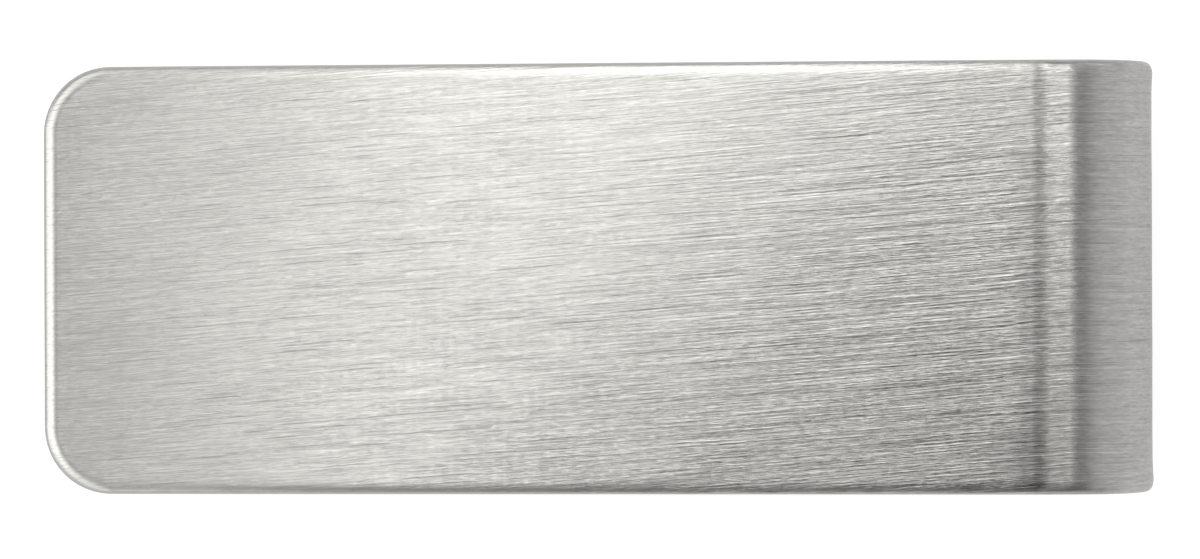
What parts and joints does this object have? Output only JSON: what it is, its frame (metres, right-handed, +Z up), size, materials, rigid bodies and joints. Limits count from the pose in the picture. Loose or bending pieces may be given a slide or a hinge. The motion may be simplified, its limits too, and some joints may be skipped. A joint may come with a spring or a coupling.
{
  "type": "money clip",
  "caption": "Folded spring-steel money clip with a brushed front leaf, a round fold and a back leaf with a grip ridge and a flared entry lip.",
  "frame": {"origin": "middle of the bounding box at its base: the clip lies on its back, on the bottom of the fold and the tip of the entry lip", "axes": "+X along the clip from the open end to the fold, +Y across the strip's width, +Z up out of the front leaf's face"},
  "size_m": [0.0518, 0.02, 0.0078],
  "materials": {
    "brushed_strip": "spring stainless steel, brushed lengthwise, edges rounded and lightly polished"
  },
  "bodies": {
    "back_body": {"fold_back_half": "brushed_strip", "back_leaf": "brushed_strip", "grip_ridge": "brushed_strip", "entry_lip": "brushed_strip"},
    "front_body": {"front_leaf": "brushed_strip", "front_heel": "brushed_strip", "fold_front_half": "brushed_strip"}
  },
  "joints": [
    {"name": "leaf_spread", "type": "hinge", "parent": "back_body", "child": "front_body", "pos_m": [0.0259, 0, 0.0039], "axis": [0, 1, 0], "range_deg": [0, 9], "stiffness_Nm_per_rad": 11}
  ]
}
